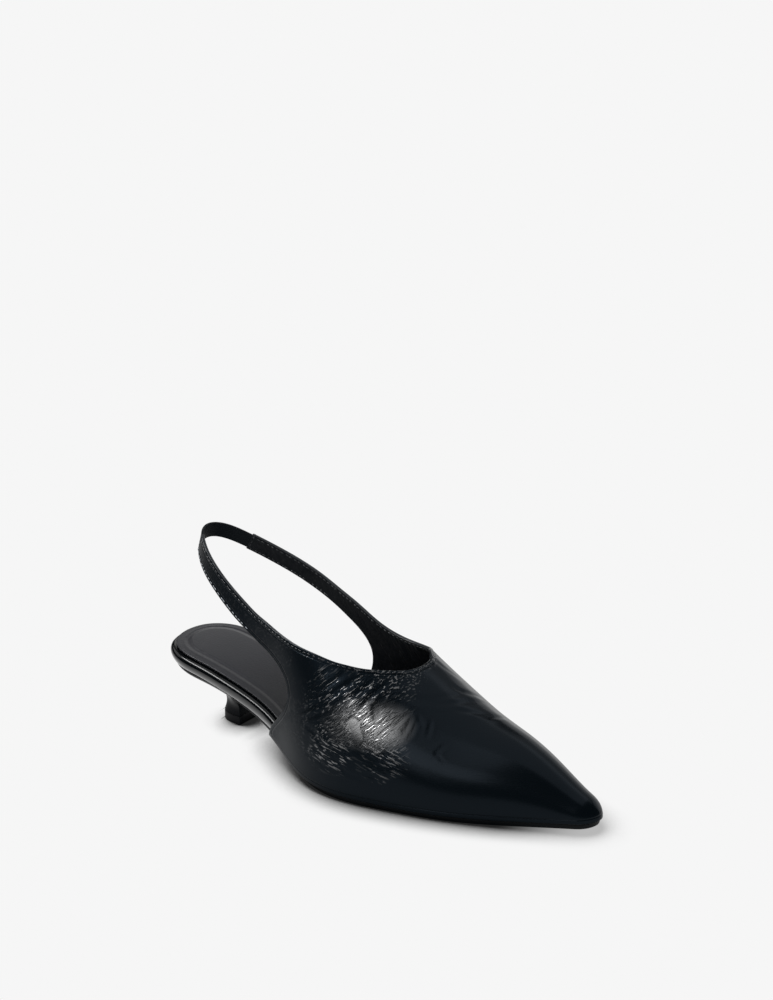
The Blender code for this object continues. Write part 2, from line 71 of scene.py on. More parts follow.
BORDER_SEGMENTS = 2


def copy_of_solid(node, name):
    """A piece that starts as a solid's mesh, with its loose triangles merged and paired into quads."""
    bpy.ops.object.select_all(action="DESELECT")
    piece = bpy.data.objects.new(name, frame["nodes"][node].data.copy())
    piece.data.name = name
    piece.data.materials.clear()
    bpy.context.scene.collection.objects.link(piece)
    bpy.context.view_layer.objects.active = piece
    piece.select_set(True)
    bpy.ops.object.mode_set(mode="EDIT")
    bpy.ops.mesh.select_all(action="SELECT")
    bpy.ops.mesh.remove_doubles(threshold=MERGE_WITHIN)
    bpy.ops.mesh.customdata_custom_splitnormals_clear()
    bpy.ops.mesh.mark_sharp(clear=True)
    bpy.ops.mesh.tris_convert_to_quads(face_threshold=PANEL_ANGLE, shape_threshold=math.pi)
    bpy.ops.object.mode_set(mode="OBJECT")
    return piece


def select_borders():
    """In edit mode, selects the borders of the active piece's panels."""
    bpy.ops.mesh.select_mode(type="EDGE")
    bpy.ops.mesh.select_all(action="DESELECT")
    bpy.ops.mesh.edges_select_sharp(sharpness=PANEL_ANGLE)


def subdivide_round(piece):
    """Rounds a piece by subdivision, with the borders of its panels kept crisp."""
    bpy.ops.object.mode_set(mode="EDIT")
    select_borders()
    bpy.ops.transform.edge_crease(value=1)
    bpy.ops.object.mode_set(mode="OBJECT")
    rounding = piece.modifiers.new("round", "SUBSURF")
    rounding.levels = ROUND_LEVELS
    rounding.render_levels = ROUND_LEVELS
    bpy.ops.object.modifier_apply(modifier="round")


def soften_borders(width):
    """Rounds the borders of the active piece's panels off by a bevel."""
    bpy.ops.object.mode_set(mode="EDIT")
    select_borders()
    bpy.ops.mesh.bevel(offset=width, segments=BORDER_SEGMENTS, affect="EDGES")
    bpy.ops.object.mode_set(mode="OBJECT")


def select_panel(piece, face):
    """In edit mode, selects the panel that holds a face, up to its seams."""
    bpy.ops.mesh.select_mode(type="FACE")
    bpy.ops.mesh.select_all(action="DESELECT")
    bpy.ops.object.mode_set(mode="OBJECT")
    piece.data.polygons[face].select = True
    bpy.ops.object.mode_set(mode="EDIT")
    bpy.ops.mesh.select_linked(delimit={"SEAM"})


def paint_selected(piece, look):
    """In edit mode, gives the selected faces a material."""
    piece.data.materials.append(look)
    piece.active_material_index = len(piece.data.materials) - 1
    bpy.ops.object.material_slot_assign()


def linear(hex_colour):
    """An sRGB hex colour as a linear colour with alpha."""
    channels = [int(hex_colour[i : i + 2], 16) / 255 for i in (1, 3, 5)]
    return tuple(c / 12.92 if c <= 0.04045 else ((c + 0.055) / 1.055) ** 2.4 for c in channels) + (1.0,)


def add_node(look, kind, settings, links):
    """Adds a node to a material. A setting is a property or an input's value, and a link joins an input to
    an output, or to the first output of a node."""
    node = look.node_tree.nodes.new("ShaderNode" + kind)
    for name, value in settings.items():
        if isinstance(name, str) and hasattr(node, name):
            setattr(node, name, value)
        else:
            node.inputs[name].default_value = value
    for name, source in links.items():
        output = source if isinstance(source, bpy.types.NodeSocket) else source.outputs[0]
        look.node_tree.links.new(output, node.inputs[name])
    return node


def new_look(name, settings):
    """A material with constant values on its shader's sockets, its shader and its object coordinates."""
    look = bpy.data.materials.new(name)
    look.use_nodes = True
    shader = look.node_tree.nodes["Principled BSDF"]
    for socket, value in settings.items():
        shader.inputs[socket].default_value = value
    place = add_node(look, "TexCoord", {}, {}).outputs["Object"]
    return look, shader, place


# Crinkled calf: a thin hard finish over soft skin breaks into short folds wherever the skin moves, so its
# gloss comes as sparks on a soft grey sheen. It is smooth over the toe, and shines most over the ball.
calf, calf_shader, calf_place = new_look(
    "crinkled_calf",
    {
        "Base Color": linear("#060b0f"),
        "IOR": 1.5,
        "Specular IOR Level": 0.07,
        "Specular Tint": linear("#c4e1ff"),
        "Coat IOR": 2.3,
        "Coat Roughness": 0.24,
    },
)
SOFT_STEP = {"interpolation_type": "SMOOTHSTEP"}
PRODUCT = {"operation": "MULTIPLY"}
LARGER = {"operation": "MAXIMUM"}
calf_axes = add_node(calf, "SeparateXYZ", {}, {"Vector": calf_place}).outputs

# The folds come in patches, and each mask says where they die out, where they are full, and the least that
# is left of them.
PATCH = 13 * MM
TOE_SLANT = 0.3  # the creased part ends further back the higher it is
Mask = namedtuple("Mask", "smooth full least")
BEHIND_TOE = Mask(0.055, 0.034, 0.0)
BEFORE_WING = Mask(-0.016, 0.004, 0.08)
ABOVE_FOOT = Mask(0.012, 0.024, 0.0)
IN_PATCH = Mask(0.38, 0.50, 0.1)
patches = add_node(calf, "TexNoise", {"Scale": 1 / PATCH, "Detail": 1.0}, {"Vector": calf_place})
slanted = add_node(
    calf, "Math", {"operation": "MULTIPLY_ADD", 1: TOE_SLANT}, {0: calf_axes["Z"], 2: calf_axes["X"]}
)
creased = None
for source, mask in (
    (slanted, BEHIND_TOE),
    (calf_axes["X"], BEFORE_WING),
    (calf_axes["Z"], ABOVE_FOOT),
    (patches, IN_PATCH),
):
    span = {"From Min": mask.smooth, "From Max": mask.full, "To Min": mask.least}
    share = add_node(calf, "MapRange", {**SOFT_STEP, **span}, {"Value": source})
    creased = share if creased is None else add_node(calf, "Math", PRODUCT, {0: creased, 1: share})

# The finish is polished in an oval over the ball of the foot, where the skin is pulled tight.
BALL = (0.020, -0.031, 0.041)
BALL_SIZE = (0.026, 0.030, 0.014)
POLISH_SPAN = {"From Min": 1.0, "From Max": 0.15}  # in sizes of the ball
on_ball = add_node(
    calf, "Mapping", {"vector_type": "TEXTURE", "Location": BALL, "Scale": BALL_SIZE}, {"Vector": calf_place}
)
off_ball = add_node(calf, "VectorMath", {"operation": "LENGTH"}, {0: on_ball}).outputs["Value"]
polish = add_node(calf, "MapRange", {**SOFT_STEP, **POLISH_SPAN}, {"Value": off_ball})

# Small folds climb the flank and run level along its foot, alike on both sides. Turns are degrees, the rest
# is millimetres, and each kind fades in between two heights. Their crests are buffed to a higher gloss.
Folds = namedtuple("Folds", "rise turn length width depth low high")
FOLDS = (
    Folds(36, 46, 5.5, 0.85, 0.40, 26, 36),
    Folds(-16, 8, 5.5, 0.90, 0.36, 38, 28),
)
FURROW_NOISE = {"Scale": 1.0, "Detail": 1.5, "Roughness": 0.5, "Distortion": 0.35}
CREST_SPAN = {"From Min": 0.56, "From Max": 0.64}
off_middle = add_node(calf, "Math", {"operation": "ABSOLUTE"}, {0: calf_axes["Y"]})
lateral = add_node(calf, "Math", {**PRODUCT, 1: -1.0}, {0: off_middle})
mirrored = add_node(calf, "CombineXYZ", {}, {"X": calf_axes["X"], "Y": lateral, "Z": calf_axes["Z"]})
under = {}
for folds in FOLDS:
    turn = (0, math.radians(-folds.rise), math.radians(folds.turn))
    size = (folds.length * MM, folds.width * MM, folds.width * MM)
    turned = add_node(
        calf, "Mapping", {"vector_type": "TEXTURE", "Rotation": turn, "Scale": size}, {"Vector": mirrored}
    )
    furrow = add_node(calf, "TexNoise", FURROW_NOISE, {"Vector": turned})
    heights = {"From Min": folds.low * MM, "From Max": folds.high * MM}
    share = add_node(calf, "MapRange", {**SOFT_STEP, **heights}, {"Value": calf_axes["Z"]})
    where = add_node(calf, "Math", PRODUCT, {0: creased, 1: share})
    fold = add_node(calf, "Math", PRODUCT, {0: furrow, 1: where})
    under = {"Normal": add_node(calf, "Bump", {"Distance": folds.depth * MM}, {"Height": fold, **under})}
    top = add_node(calf, "MapRange", {**SOFT_STEP, **CREST_SPAN}, {"Value": furrow})
    crest = add_node(calf, "Math", PRODUCT, {0: top, 1: where})
    polish = add_node(calf, "Math", LARGER, {0: polish, 1: crest})

# Fine grain lies over the folds, and a pressed line marks the band that is folded in along each edge.
GRAIN = 0.9 * MM  # real pores are half this, too fine to show
BAND = 2.5  # width of the folded band, in millimetres
BAND_LINE = 0.5  # half the width of the line at its end, in millimetres
grain = add_node(calf, "TexNoise", {"Scale": 1 / GRAIN, "Detail": 2.0}, {"Vector": calf_place})
grain_relief = add_node(calf, "Bump", {"Strength": 0.6, "Distance": 0.025 * MM}, {"Height": grain, **under})
to_border = add_node(calf, "Attribute", {"attribute_name": "border_mm"}, {}).outputs["Fac"]
past_band = add_node(calf, "Math", {"operation": "SUBTRACT", 1: BAND}, {0: to_border})
off_band = add_node(calf, "Math", {"operation": "ABSOLUTE"}, {0: past_band})
band_line = add_node(calf, "MapRange", {**SOFT_STEP, "From Max": BAND_LINE}, {"Value": off_band})
calf_relief = add_node(calf, "Bump", {"Distance": 0.16 * MM}, {"Height": band_line, "Normal": grain_relief})

# The wings are duller than the toe.
WING_HEIGHT = {"From Min": 0.014, "From Max": 0.044}
WING_FRONT = {"From Min": 0.036, "From Max": 0.010}
TOE_COAT, WING_COAT = 0.015, 0.0
TOE_ROUGH, WING_ROUGH = 0.2, 0.38
high = add_node(calf, "MapRange", {**SOFT_STEP, **WING_HEIGHT}, {"Value": calf_axes["Z"]})
back = add_node(calf, "MapRange", {**SOFT_STEP, **WING_FRONT}, {"Value": calf_axes["X"]})
wing = add_node(calf, "Math", PRODUCT, {0: high, 1: back})
coat = add_node(calf, "MapRange", {"To Min": TOE_COAT, "To Max": WING_COAT}, {"Value": wing})
polish = add_node(calf, "Math", LARGER, {0: polish, 1: coat})
rough = add_node(calf, "MapRange", {"To Min": TOE_ROUGH, "To Max": WING_ROUGH}, {"Value": wing})
calf.node_tree.links.new(rough.outputs[0], calf_shader.inputs["Roughness"])
calf.node_tree.links.new(polish.outputs[0], calf_shader.inputs["Coat Weight"])
calf.node_tree.links.new(calf_relief.outputs[0], calf_shader.inputs["Normal"])
calf.node_tree.links.new(calf_relief.outputs[0], calf_shader.inputs["Coat Normal"])

# Lining: thin black goat skin, matt from its buffed face, with fine pores and a few drawn streaks.
lining, lining_shader, lining_place = new_look(
    "black_goat_lining",
    {"Base Color": linear("#060b10"), "Roughness": 0.45, "IOR": 1.5, "Specular IOR Level": 0.12},
)
LINING_PORE = 0.9 * MM  # real pores are finer, too fine to show
STREAK = (5 * MM, 5 * MM, 16 * MM)
STREAK_TURN = (0, math.radians(-35), 0)
drawn = add_node(
    lining,
    "Mapping",
    {"vector_type": "TEXTURE", "Rotation": STREAK_TURN, "Scale": STREAK},
    {"Vector": lining_place},
)
streaks = add_node(lining, "TexNoise", {"Scale": 1.0, "Detail": 3.0}, {"Vector": drawn})
streak_relief = add_node(lining, "Bump", {"Distance": 1.8 * MM}, {"Height": streaks})
pores = add_node(lining, "TexVoronoi", {"Scale": 1 / LINING_PORE}, {"Vector": lining_place})
lining_relief = add_node(
    lining,
    "Bump",
    {"Strength": 0.5, "Distance": 0.06 * MM},
    {"Height": pores.outputs["Distance"], "Normal": streak_relief},
)
lining.node_tree.links.new(lining_relief.outputs[0], lining_shader.inputs["Normal"])

# Folded edge: the same calf turned over tight, so its finish is stretched pale and draws thin light lines.
fold_edge, edge_shader, edge_place = new_look(
    "folded_calf_edge",
    {"Base Color": linear("#191e23"), "Roughness": 0.3, "IOR": 1.5, "Specular IOR Level": 0.25},
)
EDGE_WAVE = 3 * MM
waves = add_node(fold_edge, "TexNoise", {"Scale": 1 / EDGE_WAVE, "Detail": 2.0}, {"Vector": edge_place})
edge_relief = add_node(fold_edge, "Bump", {"Strength": 0.5, "Distance": 0.2 * MM}, {"Height": waves})
fold_edge.node_tree.links.new(edge_relief.outputs[0], edge_shader.inputs["Normal"])

# Thread: waxed black polyester, whose strands catch small pale glints. Its pale copy is a painted highlight.
thread = new_look(
    "waxed_thread",
    {"Base Color": linear("#1a1f24"), "Roughness": 0.34, "IOR": 1.5, "Specular IOR Level": 0.5},
)[0]
painted_glint_thread = new_look(
    "painted_glint_thread",
    {"Base Color": linear("#9aa0a6"), "Roughness": 0.34, "IOR": 1.5, "Specular IOR Level": 0.5},
)[0]

# The throat's corners are eased along the border. Calf and lining are then painted as panels, and what is
# left between them is the folded edge.
WALL = 2 * MM
THROAT_MIDDLE = Vector((0.029, 0.009, 0.063))
THROAT_REACH = 0.017
THROAT_ROUNDING = 6
CALF_SLOT, LINING_SLOT = 1, 2


def round_borders(piece, middle, reach, times_over):
    """Eases the corners of a panel's borders near a place, along the border only."""
    mesh = piece.data
    bpy.ops.object.mode_set(mode="EDIT")
    select_borders()
    bpy.ops.object.mode_set(mode="OBJECT")
    beside = {}
    for edge in mesh.edges:
        if edge.select:
            for here, there in (edge.vertices, reversed(edge.vertices)):
                beside.setdefault(here, []).append(there)
    for _ in range(times_over):
        eased = {}
        for number, pair in beside.items():
            place = mesh.vertices[number].co
            if len(pair) == 2 and (place - middle).length < reach:
                eased[number] = place / 2 + (mesh.vertices[pair[0]].co + mesh.vertices[pair[1]].co) / 4
        for number, place in eased.items():
            mesh.vertices[number].co = place


upper = copy_of_solid("upper", "upper_leather")
upper.data.materials.append(fold_edge)
faces = upper.data.polygons
outermost = min(faces, key=lambda face: face.center.y)
behind = outermost.center - outermost.normal * WALL
innermost = min(
    (face for face in faces if face.normal.dot(outermost.normal) < 0),
    key=lambda face: (face.center - behind).length,
)
outer_seed = outermost.index
inner_seed = innermost.index
round_borders(upper, THROAT_MIDDLE, THROAT_REACH, THROAT_ROUNDING)
bpy.ops.object.mode_set(mode="EDIT")
select_borders()
bpy.ops.mesh.mark_seam(clear=False)
select_panel(upper, outer_seed)
paint_selected(upper, calf)
select_panel(upper, inner_seed)
paint_selected(upper, lining)
bpy.ops.object.mode_set(mode="OBJECT")
subdivide_round(upper)

# The main creases are pressed in one by one, in millimetres from the part's origin: where each starts, its
# middle, where it ends, its depth and its width. The first ones fan out from the side cut's lower corner.
Crease = namedtuple("Crease", "start middle end depth width")
CREASES = (
    Crease((-29, -35, 34), (-12, -36, 55), (0, -34, 67), 0.28, 1.3),
    Crease((-26, -36, 35), (-5, -36, 54), (4, -27, 64), 0.32, 1.3),
    Crease((-28, -36, 33), (-6, -38, 48), (12, -24, 62), 0.40, 1.5),
    Crease((-22, -38, 34), (-8, -40, 41), (6, -36, 50), 0.28, 1.2),
    Crease((8, -38, 38), (18, -26, 53), (23, -12, 62), 0.12, 1.6),
    Crease((15, -33, 45), (18, -25, 54), (22, -18, 58), 0.18, 1.2),
    Crease((0, -36, 55), (7, -29, 59), (13, -20, 64), 0.18, 1.2),
    Crease((6, -34, 52), (12, -28, 55), (16, -22, 60), 0.20, 1.3),
    Crease((-10, -40, 36), (-4, -42, 32), (0, -43, 27), 0.36, 1.2),
    Crease((-14, -40, 36), (-8, -41, 33), (-3, -42, 28), 0.30, 1.1),
    Crease((29, -17, 54), (42, -6, 52), (50, 11, 51), 0.22, 1.5),
    Crease((34, -15, 52), (47, -4, 50), (57, 14, 47), 0.26, 1.5),
    Crease((49, -5, 48), (60, 4, 45), (67, 13, 43), 0.20, 1.4),
    Crease((43, 7, 54), (49, 10, 51), (54, 21, 44), 0.20, 1.4),
    Crease((62, 3, 45), (67, 9, 43), (69, 17, 40), 0.18, 1.3),
    Crease((26, 13, 63), (33, 13, 60), (41, 17, 54), 0.14, 1.4),
    Crease((54, -25, 29), (55, -21, 33), (57, -18, 36), 0.08, 1.0),
    Crease((53, -22, 34), (56, -22, 31), (59, -22, 29), 0.08, 1.0),
    Crease((48, -21, 38), (47, -17, 42), (45, -13, 46), 0.10, 1.0),
    Crease((40, -17, 46), (42, -18, 44), (44, -18, 43), 0.11, 1.0),
    Crease((32, -27, 42), (34, -23, 45), (36, -18, 48), 0.13, 1.0),
    Crease((36, -28, 37), (38, -24, 41), (38, -20, 46), 0.15, 1.0),
    Crease((40, -27, 36), (41, -23, 41), (41, -19, 45), 0.13, 1.0),
    Crease((-7, -41, 25), (-4, -42, 25), (-1, -42, 24), 0.34, 0.9),
    Crease((-11, -41, 20), (-8, -41, 20), (-6, -41, 19), 0.34, 0.9),
    Crease((-3, -41, 24), (0, -42, 24), (4, -42, 23), 0.34, 0.9),
    Crease((-4, -41, 19), (-2, -42, 19), (0, -42, 18), 0.30, 0.9),
    Crease((0, -42, 17), (2, -42, 17), (5, -42, 17), 0.30, 0.9),
    Crease((5, -41, 23), (8, -41, 22), (12, -41, 21), 0.34, 0.9),
    Crease((8, -41, 20), (11, -41, 19), (14, -41, 18), 0.30, 0.9),
    Crease((11, -41, 18), (14, -41, 17), (18, -40, 16), 0.28, 0.9),
    Crease((15, -40, 17), (20, -40, 16), (24, -39, 15), 0.26, 0.9),
    Crease((21, -39, 18), (26, -38, 18), (30, -37, 17), 0.26, 0.9),
    Crease((29, -35, 28), (31, -34, 29), (34, -32, 30), 0.26, 0.9),
)
CREASE_STEPS = 24
CREASE_REACH = 3.2  # in crease widths
CREASE_ENDS = (0.03, 0.97)  # the parts of its length where it is shallowest
CREASE_FULLNESS = 0.7  # below 1 it keeps its depth further towards its ends
LIP = 0.45  # height of the ridges beside a crease, as a share of its depth
LIP_PLACE = 1.7  # and their distance from it, in crease widths
FREE_EDGE = 4.0  # a crease dies out this near to an edge, in millimetres
FAR_INSIDE = 99.0  # stands for the distance to a border where there is none, in millimetres


def tree_of(points):
    """A tree that finds the nearest of some points."""
    tree = KDTree(len(points))
    for number, point in enumerate(points):
        tree.insert(point, number)
    tree.balance()
    return tree


def border_loops(mesh, slot):
    """The border lines of the faces with one material, as vertex numbers with the faces on the left."""
    panel = [face for face in mesh.polygons if face.material_index == slot]
    count = {}
    for face in panel:
        for edge in face.edge_keys:
            count[edge] = count.get(edge, 0) + 1
    ahead = {}
    for face in panel:
        corners = list(face.vertices)
        for here, there in zip(corners, corners[1:] + corners[:1]):
            if count[min(here, there), max(here, there)] == 1:
                ahead[here] = there
    loops = []
    while ahead:
        loop = [next(iter(ahead))]
        while loop[-1] in ahead:
            loop.append(ahead.pop(loop[-1]))
        loops.append(loop[:-1])
    return loops


def crease_line(crease):
    """Points along a crease, laid on the leather."""
    start, middle, end = (np.array(place) * MM for place in (crease.start, crease.middle, crease.end))
    handle = 2 * middle - (start + end) / 2
    line = []
    for part in np.linspace(0, 1, CREASE_STEPS + 1):
        place = (1 - part) ** 2 * start + 2 * part * (1 - part) * handle + part**2 * end
        line.append(upper.closest_point_on_mesh(Vector(place))[1])
    return np.array(line)


crease_lines = [crease_line(crease) for crease in CREASES]
crease_tree = tree_of(np.concatenate(crease_lines))
for face in upper.data.polygons:
    near = crease_tree.find(face.center)[2] < CREASE_REACH * MM
    face.select = face.material_index == CALF_SLOT and near
bpy.ops.object.mode_set(mode="EDIT")
bpy.ops.mesh.select_mode(type="FACE")
bpy.ops.mesh.subdivide(number_cuts=1, smoothness=1.0)
bpy.ops.object.mode_set(mode="OBJECT")

leather = upper.data
places = np.empty(len(leather.vertices) * 3)
leather.vertices.foreach_get("co", places)
places = places.reshape(-1, 3)
border_mm = np.full(len(places), FAR_INSIDE)
panel_normals = {}
loops = {}
for slot in (CALF_SLOT, LINING_SLOT):
    loops[slot] = border_loops(leather, slot)
    border_tree = tree_of(places[np.concatenate(loops[slot])])
    panel_normals[slot] = np.zeros_like(places)
    for face in leather.polygons:
        if face.material_index == slot:
            panel_normals[slot][list(face.vertices)] += np.array(face.normal) * face.area
    length = np.linalg.norm(panel_normals[slot], axis=1)
    for number in np.flatnonzero(length):
        panel_normals[slot][number] /= length[number]
        border_mm[number] = border_tree.find(places[number])[2] / MM
leather.attributes.new("border_mm", "FLOAT", "POINT").data.foreach_set("value", border_mm)

outside = np.linalg.norm(panel_normals[CALF_SLOT], axis=1) > 0
rise = np.zeros(len(places))
for crease, line in zip(CREASES, crease_lines):
    reach = CREASE_REACH * crease.width * MM
    close = np.all((places > line.min(0) - reach) & (places < line.max(0) + reach), axis=1) & outside
    away = np.linalg.norm(places[close][:, None] - line[None], axis=2)
    across = away.min(1) / (crease.width * MM)
    dying = np.sin(math.pi * np.clip(away.argmin(1) / CREASE_STEPS, *CREASE_ENDS)) ** CREASE_FULLNESS
    profile = LIP * np.exp(-((across - LIP_PLACE) ** 2)) - np.exp(-(across**2))
    rise[close] += crease.depth * MM * dying * profile
rise *= np.clip(border_mm / FREE_EDGE, 0, 1)
leather.vertices.foreach_set("co", (places + panel_normals[CALF_SLOT] * rise[:, None]).ravel())
leather.update()

# Two rows of stitches, outside and on the lining, follow the straps, the topline and the throat.
STITCH_INSET = 1.3 * MM
STITCH_STEP = 2.7 * MM
STITCH_HALF = np.array((1.0, 0.26, 0.22)) * MM  # along the row, across it and up
STITCHED_ABOVE = 0.057  # lower edges are glued
CUT_END = 0.068  # and so is the side cut, up to here
bpy.ops.object.select_all(action="DESELECT")
bpy.ops.mesh.primitive_uv_sphere_add(segments=8, ring_count=5, radius=1)
stitch = bpy.context.object
stitch_form = np.array([vertex.co for vertex in stitch.data.vertices])
form_faces = sorted(list(face.vertices) for face in stitch.data.polygons)  # the same order in each run
bpy.data.objects.remove(stitch)
stitch_points = []
stitch_faces = []
stitch_looks = []
for slot in (CALF_SLOT, LINING_SLOT):
    for loop in loops[slot]:
        row = places[loop]
        runs = np.roll(row, -1, axis=0) - np.roll(row, 1, axis=0)
        steps = np.linalg.norm(np.roll(row, -1, axis=0) - row, axis=1)
        walked = 0.0
        for number, run, step in zip(loop, runs, steps):
            walked += step
            if walked < STITCH_STEP:
                continue
            walked -= STITCH_STEP
            up = panel_normals[slot][number]
            along = run / np.linalg.norm(run)
            inwards = np.cross(up, along)
            height = places[number][2]
            if height < STITCHED_ABOVE or (height < CUT_END and inwards[2] > 0):
                continue
            middle = places[number] + inwards * STITCH_INSET
            first = len(stitch_points) * len(stitch_form)
            stitch_points.append(middle + (stitch_form * STITCH_HALF) @ np.array([along, inwards, up]))
            stitch_faces += [[first + corner for corner in face] for face in form_faces]
            # The lateral outside rows along lower edges take the pale thread, a painted highlight.
            painted_glint_row = slot == CALF_SLOT and middle[1] < 0 and inwards[2] > 0
            stitch_looks += [int(painted_glint_row)] * len(form_faces)
stitches = bpy.data.objects.new("stitches", bpy.data.meshes.new("stitches"))
stitches.data.from_pydata(np.concatenate(stitch_points).tolist(), [], stitch_faces)
stitches.data.materials.append(thread)
stitches.data.materials.append(painted_glint_thread)
stitches.data.polygons.foreach_set("material_index", stitch_looks)
bpy.context.scene.collection.objects.link(stitches)

FOLD_ROUND = 0.4 * MM
bpy.context.view_layer.objects.active = upper
upper.select_set(True)
soften_borders(FOLD_ROUND)
stitches.select_set(True)
bpy.ops.object.join()
bpy.ops.object.shade_smooth()
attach(upper, "root")
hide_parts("upper")

# Elastic
# A band of covered elastic joins the two strap ends behind the heel. It is woven lengthwise, and tucked
# between leather and lining where it is sewn in.
RIB = 1.1 * MM
BANDS_PER_UNIT = 3.2  # of a wave texture at scale 1
TUCK = 2.6 * MM  # length at each end that is sewn in
ELASTIC_ROUND = 0.25 * MM

# Woven elastic: dull black yarn, whose ribs show as fine lines along the band.
elastic_weave, elastic_shader, elastic_place = new_look(
    "woven_elastic",
    {"Base Color": linear("#080e13"), "Roughness": 0.6, "IOR": 1.5, "Specular IOR Level": 0.1},
)
ribs = add_node(
    elastic_weave,
    "TexWave",
    {"wave_type": "BANDS", "bands_direction": "Z", "Scale": 1 / (RIB * BANDS_PER_UNIT)},
    {"Vector": elastic_place},
).outputs["Fac"]
rib_relief = add_node(elastic_weave, "Bump", {"Strength": 0.6, "Distance": 0.12 * MM}, {"Height": ribs})
elastic_weave.node_tree.links.new(rib_relief.outputs[0], elastic_shader.inputs["Normal"])

elastic = copy_of_solid("elastic", "heel_elastic")
elastic.data.materials.append(elastic_weave)
band = elastic.data.polygons
ends = [min(band, key=lambda face: face.center.y).index, max(band, key=lambda face: face.center.y).index]
bpy.ops.object.mode_set(mode="EDIT")
bpy.ops.mesh.select_mode(type="FACE")
bpy.ops.mesh.select_all(action="DESELECT")
bpy.ops.object.mode_set(mode="OBJECT")
for end in ends:
    elastic.data.polygons[end].select = True
bpy.ops.object.mode_set(mode="EDIT")
bpy.ops.mesh.extrude_faces_move(TRANSFORM_OT_shrink_fatten={"value": TUCK})
bpy.ops.object.mode_set(mode="OBJECT")
subdivide_round(elastic)
soften_borders(ELASTIC_ROUND)
bpy.ops.object.shade_smooth()
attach(elastic, "root")
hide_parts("elastic")

# Footbed
# A board with a rounded rim, wrapped in glossy calf that is drawn tight and glued under it. The rim's lower
# half, where it is drawn tightest, has the most shine.
WRAP_PULL = 5 * MM
RIM_COAT, UNDER_COAT = 0.08, 1.0
UNDER_LEVEL, UNDER_SLOPE = 0.5, 1.4  # the shine starts where the rim turns down, and how fast it grows

# Tight-wrapped calf: its grain is stretched flat, so it mirrors the studio in long lines.
wrap, wrap_shader, wrap_place = new_look(
    "tight_wrapped_calf",
    {
        "Base Color": linear("#05080b"),
        "Roughness": 0.2,
        "IOR": 1.5,
        "Specular IOR Level": 0.1,
        "Coat IOR": 1.95,
        "Coat Roughness": 0.08,
    },
)
pulls = add_node(wrap, "TexNoise", {"Scale": 1 / WRAP_PULL, "Detail": 2.0}, {"Vector": wrap_place})
pull_relief = add_node(wrap, "Bump", {"Strength": 0.4, "Distance": 0.04 * MM}, {"Height": pulls})
below = add_node(wrap, "Attribute", {"attribute_name": "underside"}, {}).outputs["Fac"]
coat = add_node(wrap, "MapRange", {"To Min": RIM_COAT, "To Max": UNDER_COAT}, {"Value": below})
wrap.node_tree.links.new(pull_relief.outputs[0], wrap_shader.inputs["Normal"])
wrap.node_tree.links.new(coat.outputs[0], wrap_shader.inputs["Coat Weight"])

footbed = copy_of_solid("footbed", "footbed_rim")
footbed.data.materials.append(wrap)
subdivide_round(footbed)
underside = [
    min(max(UNDER_LEVEL - UNDER_SLOPE * vertex.normal.z, 0), 1) for vertex in footbed.data.vertices
]
footbed.data.attributes.new("underside", "FLOAT", "POINT").data.foreach_set("value", underside)
bpy.ops.object.shade_smooth()
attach(footbed, "root")
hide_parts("footbed")

# Insole
# A sock of matt charcoal lining leather over thin foam, pressed down in a groove along its border. Its
# colour is grey at the seat and painted darker towards the arch, a painted shade where the upper covers it.
SEAT_TO_ARCH_SHADE = {"From Min": -0.085, "From Max": -0.035}
SEAT_GREY, ARCH_PAINTED_SHADE = "#24252b", "#090d12"
SOCK_PORE = 1.0 * MM  # real pores are finer, too fine to show
GROOVE = 6.0  # distance of the groove from the border, in millimetres
GROOVE_HALF = 2.4  # and half its width
WALL_SLOPE = 0.4  # a face is part of the insole's wall where its normal rises less than this
INSOLE_ROUND = 0.5 * MM

# Sock leather: buffed and matt, with round pores that take its shine away.
sock, sock_shader, sock_place = new_look(
    "charcoal_sock_leather",
    {"Roughness": 0.48, "IOR": 1.5, "Specular IOR Level": 0.2},
)
to_border = add_node(sock, "Attribute", {"attribute_name": "border_mm"}, {}).outputs["Fac"]
past_groove = add_node(sock, "Math", {"operation": "SUBTRACT", 1: GROOVE}, {0: to_border})
off_groove = add_node(sock, "Math", {"operation": "ABSOLUTE"}, {0: past_groove})
groove = add_node(sock, "MapRange", {**SOFT_STEP, "From Max": GROOVE_HALF}, {"Value": off_groove})
groove_relief = add_node(sock, "Bump", {"Distance": 0.6 * MM}, {"Height": groove})
pores = add_node(sock, "TexVoronoi", {"Scale": 1 / SOCK_PORE}, {"Vector": sock_place})
sock_relief = add_node(
    sock,
    "Bump",
    {"Strength": 0.6, "Distance": 0.08 * MM},
    {"Height": pores.outputs["Distance"], "Normal": groove_relief},
)
# Painted shade: the colour darkens from the seat into the arch, under the upper.
sock_along = add_node(sock, "SeparateXYZ", {}, {"Vector": sock_place}).outputs["X"]
arch_shade_share = add_node(sock, "MapRange", {**SOFT_STEP, **SEAT_TO_ARCH_SHADE}, {"Value": sock_along})
tone = add_node(
    sock, "Mix", {"data_type": "RGBA", 6: linear(SEAT_GREY), 7: linear(ARCH_PAINTED_SHADE)}, {0: arch_shade_share}
).outputs[2]
sock.node_tree.links.new(tone, sock_shader.inputs["Base Color"])
sock.node_tree.links.new(sock_relief.outputs[0], sock_shader.inputs["Normal"])

